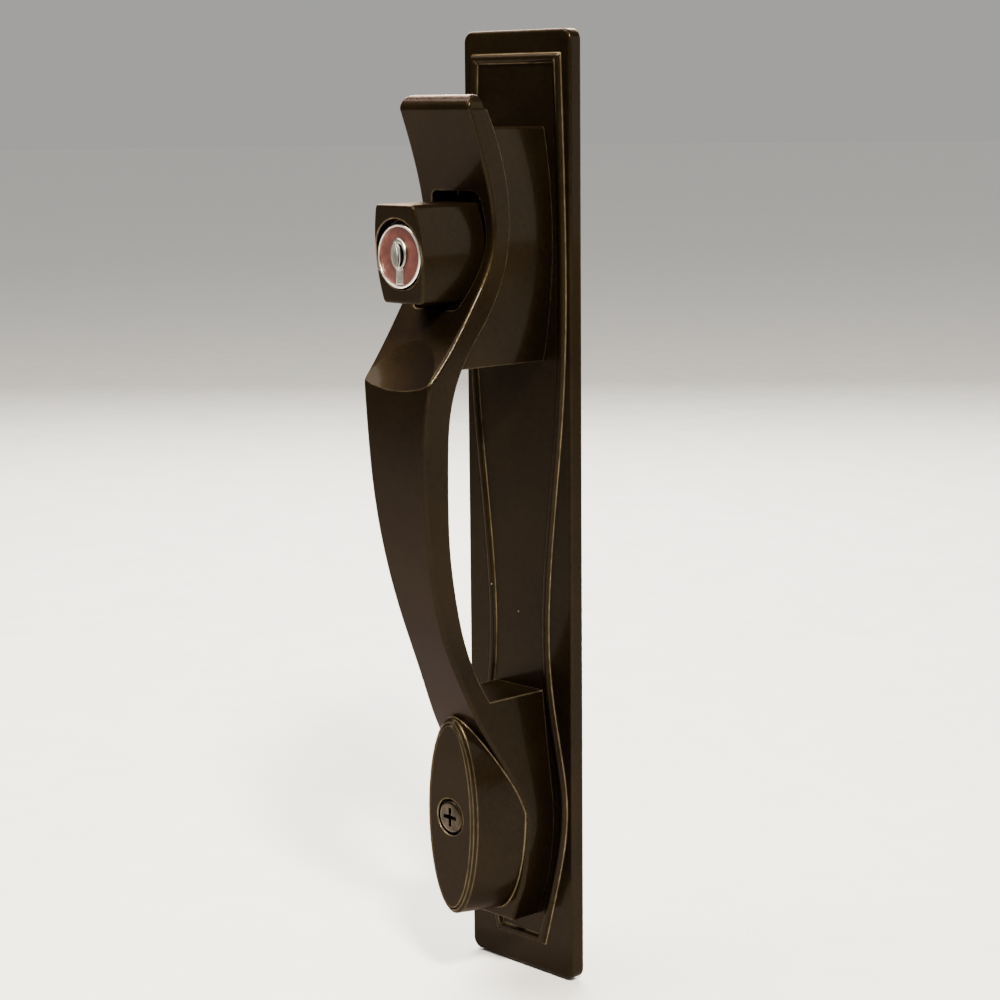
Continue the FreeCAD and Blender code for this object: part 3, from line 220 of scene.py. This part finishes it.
MATERIALS = {
    "back_plate": bronze_coat("plate_paint", gloss=0.40, seed=0.0),
    "pull_handle": bronze_coat("pull_paint", gloss=0.36, seed=1.7),
    "push_button": bronze_coat("button_paint", gloss=0.34, seed=3.1),
    "oval_cap": bronze_coat("cap_paint", gloss=0.38, seed=4.6),
    "cap_screw": plated_metal("dark_screw", (0.042, 0.031, 0.021), (0.009, 0.006, 0.004),
                              gloss=0.20, seed=0.4, painted_hollow_shade=1.0),
    "plug_bezel": plated_metal("nickel_ring", (0.86, 0.80, 0.72), (0.60, 0.54, 0.47),
                               gloss=0.14, seed=0.9),
    "keyhole_insert": plated_metal("nickel_insert", (0.42, 0.40, 0.37), (0.04, 0.037, 0.033),
                                   gloss=0.12, seed=2.3, scratch=12.0, bevel=0.0005, painted_hollow_shade=1.0),
    "plug_face": face_enamel("red_face", (0.060, 0.012, 0.009), (0.086, 0.025, 0.019)),
    "key_plug": plated_metal("plug_brass", (0.30, 0.21, 0.09), (0.12, 0.08, 0.04),
                             gloss=0.35, seed=5.2),
    "cylinder_shell": plated_metal("shell_brass", (0.42, 0.31, 0.14), (0.22, 0.15, 0.07),
                                   gloss=0.34, seed=5.9),
    "wafer_tumblers": plated_metal("wafer_brass", (0.60, 0.44, 0.20), (0.34, 0.24, 0.11),
                                   gloss=0.30, seed=6.6),
    "plug_clip": plated_metal("clip_steel", (0.30, 0.30, 0.29), (0.17, 0.17, 0.165),
                              gloss=0.32, seed=7.1),
    "wafer_springs": plated_metal("fine_spring", (0.60, 0.58, 0.54), (0.40, 0.38, 0.34),
                                  gloss=0.30, seed=7.7),
    "button_spring": plated_metal("spring_steel", (0.30, 0.295, 0.28), (0.17, 0.165, 0.16),
                                  gloss=0.30, seed=8.3),
    "spring_seat": plated_metal("seat_steel", (0.27, 0.265, 0.25), (0.16, 0.155, 0.14),
                                gloss=0.36, seed=8.8),
    "cylinder_set_screw": plated_metal("grub_steel", (0.16, 0.15, 0.14), (0.07, 0.065, 0.06),
                                       gloss=0.38, seed=9.1),
    "tailpiece": plated_metal("tail_steel", (0.26, 0.25, 0.22), (0.15, 0.145, 0.12),
                              gloss=0.36, seed=9.7),
    "mounting_posts": plated_metal("post_zinc", (0.28, 0.27, 0.24), (0.16, 0.155, 0.13),
                                   gloss=0.36, seed=10.4),
    "toothed_washers": plated_metal("washer_zinc", (0.25, 0.25, 0.24), (0.14, 0.14, 0.13),
                                    gloss=0.38, seed=11.0),
    "plate_screws": plated_metal("screw_zinc", (0.26, 0.255, 0.24), (0.15, 0.145, 0.13),
                                 gloss=0.36, seed=11.9),
}

for node, material in MATERIALS.items():
    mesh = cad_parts[node].data
    mesh.materials.clear()
    mesh.materials.append(material)

# ---------------------------------------------------------------- studio
FLOOR_LEVEL = -0.1275
FLOOR_REACH = 14.0
FLOOR_SIDES = 96
FLOOR_PALE, FLOOR_PALEST = (0.52, 0.51, 0.49), (0.56, 0.55, 0.53)
SOFTBOXES = (
    # name, place, aim, width, height, watts, colour
    ("overhead", (-0.35, -0.25, 0.95), (0, 0, 0.05), 0.8, 0.8, 42.0, (1.0, 0.92, 0.79)),
    ("behind_left", (-0.70, 0.68, 0.62), (0, 0, 0.05), 0.9, 0.4, 46.0, (1.0, 0.97, 0.90)),
    ("above_camera", (0.75, -0.46, 0.83), (0, 0, 0.03), 0.16, 0.16, 80.0, (1.0, 0.92, 0.78)),
    ("behind_right", (0.80, 0.70, 0.30), (0, 0, 0), 0.6, 0.6, 4.5, (1.0, 0.94, 0.84)),
)


def add_floor():
    """A wide pale floor under the foot of the plate."""
    material, tree, place = start_material("pale_floor")
    grain = add_noise(tree, place, 60, detail=3)
    color = add_mix(tree, add_range(tree, grain, 0.3, 0.7), FLOOR_PALE, FLOOR_PALEST)
    roughness = add_range(tree, grain, 0.3, 0.7, 0.62, 0.72)
    upright = add_node(tree, "ShaderNodeNewGeometry").outputs["Normal"]
    end_material(tree, color, roughness, grain, upright, 0.00005, Metallic=0.0)
    mesh = bpy.data.meshes.new("floor")
    angles = [2 * math.pi * side / FLOOR_SIDES for side in range(FLOOR_SIDES)]
    rim = [(FLOOR_REACH * math.cos(angle), FLOOR_REACH * math.sin(angle), FLOOR_LEVEL)
           for angle in angles]
    mesh.from_pydata(rim, [], [tuple(range(FLOOR_SIDES))])
    mesh.materials.append(material)
    floor = bpy.data.objects.new("floor", mesh)
    bpy.context.scene.collection.objects.link(floor)


def add_world():
    """Soft light from all round, dimmer from the camera's side and brighter from above."""
    world = bpy.data.worlds.new("studio")
    bpy.context.scene.world = world
    world.use_nodes = True
    tree = world.node_tree
    tree.nodes.clear()
    direction = add_node(tree, "ShaderNodeTexCoord").outputs["Generated"]
    split = add_node(tree, "ShaderNodeSeparateXYZ", {"Vector": direction}).outputs
    level = add_range(tree, split["Y"], -0.4, 0.4, 0.22, 0.42)
    level = add_math(tree, "ADD", level, add_range(tree, split["Z"], 0.08, 1.0, 0.0, 0.7))
    background = add_node(tree, "ShaderNodeBackground", {"Color": (1.0, 0.985, 0.96, 1.0),
                                                         "Strength": level})
    output = add_node(tree, "ShaderNodeOutputWorld")
    tree.links.new(background.outputs[0], output.inputs["Surface"])


def add_softbox(name, place, aim, width, height, power, color):
    """A rectangular soft light at place, facing aim."""
    data = bpy.data.lights.new(name, "AREA")
    data.shape = "RECTANGLE"
    data.size, data.size_y = width, height
    data.energy = power
    data.color = color
    light = bpy.data.objects.new(name, data)
    bpy.context.scene.collection.objects.link(light)
    light.location = place
    light.rotation_euler = (Vector(aim) - Vector(place)).to_track_quat("-Z", "Y").to_euler()


add_floor()
add_world()
for softbox in SOFTBOXES:
    add_softbox(*softbox)
